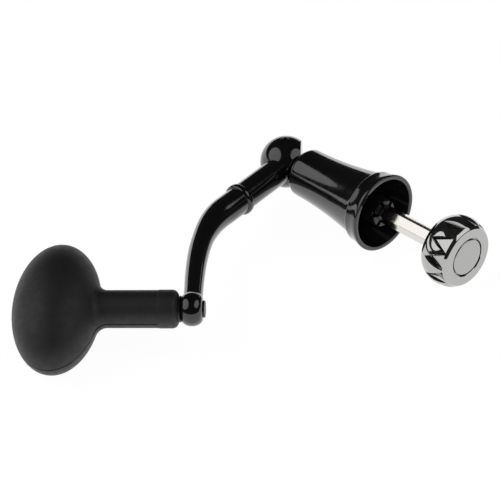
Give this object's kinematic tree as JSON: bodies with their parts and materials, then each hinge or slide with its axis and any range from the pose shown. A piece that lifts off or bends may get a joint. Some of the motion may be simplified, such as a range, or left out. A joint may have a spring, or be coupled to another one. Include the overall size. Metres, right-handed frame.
{
  "type": "folding crank handle",
  "caption": "Folding crank handle: hex drive rod in a sprung bell skirt, ball knuckle, bent round arm, turning T knob on a spindle, and a screw cap on the rod's end",
  "frame": {"origin": "centre of the skirt's open rim, on the drive rod's axis", "axes": "+X out along the drive rod towards the screw cap, +Z along the hinge pin, and the arm on the -Y side"},
  "size_m": [0.085, 0.1266, 0.0268],
  "materials": {
    "rod_steel": "polished bright steel",
    "gloss_black": "gloss black enamel on cast metal",
    "skirt_black": "gloss black enamel",
    "sleeve_black": "satin black moulded nylon",
    "spring_steel": "drawn spring wire",
    "clip_steel": "blackened spring steel",
    "pin_steel": "ground steel",
    "grip_black": "soft-touch matte black",
    "core_plastic": "moulded plastic",
    "bush_bronze": "sintered bronze",
    "chrome": "bright chrome plate",
    "washer_black": "black nylon"
  },
  "bodies": {
    "rod": {"drive_rod": "rod_steel", "stop_washer": "pin_steel", "stop_clip": "clip_steel", "return_spring": "spring_steel"},
    "skirt": {"skirt_shell": "skirt_black", "guide_sleeve": "sleeve_black"},
    "arm": {"crank_arm": "gloss_black", "hinge_pin": "pin_steel", "knob_spindle": "clip_steel", "spindle_retainer": "pin_steel", "knob_thrust_washer": "washer_black"},
    "knob": {"knob_upper_half": "grip_black", "knob_lower_half": "grip_black", "knob_core": "core_plastic", "knob_end_collar": "grip_black", "knob_outer_bush": "bush_bronze", "knob_inner_bush": "bush_bronze"},
    "cap_carrier": {"cap_washer": "washer_black"},
    "cap": {"cap_shell": "chrome", "cap_disc": "chrome", "cap_stud": "spring_steel"}
  },
  "joints": [
    {"name": "arm_fold", "type": "hinge", "parent": "rod", "child": "arm", "pos_m": [-0.0431, 0, 0], "axis": [0, 0, 1], "range_deg": [-44.3, 16]},
    {"name": "skirt_slide", "type": "slide", "parent": "rod", "child": "skirt", "axis": [1, 0, 0], "range_m": [-0.00332, 0.0012], "deforming": ["return_spring"]},
    {"name": "knob_spin", "type": "hinge", "parent": "arm", "child": "knob", "pos_m": [-0.01704, -0.08397, 0], "axis": [-0.7157, -0.6984, 0], "continuous": true},
    {"name": "cap_travel", "type": "slide", "parent": "rod", "child": "cap_carrier", "axis": [1, 0, 0], "range_m": [-0.0001, 0.0086]},
    {"name": "cap_turn", "type": "hinge", "parent": "cap_carrier", "child": "cap", "pos_m": [0.0284, 0, 0], "axis": [1, 0, 0], "range_deg": [0, 6120]}
  ],
  "couplings": [
    {"joint": "skirt_slide", "follows": "arm_fold", "m_per_rad": 0.0042685},
    {"joint": "cap_travel", "follows": "cap_turn", "m_per_rad": 0.000079577}
  ]
}
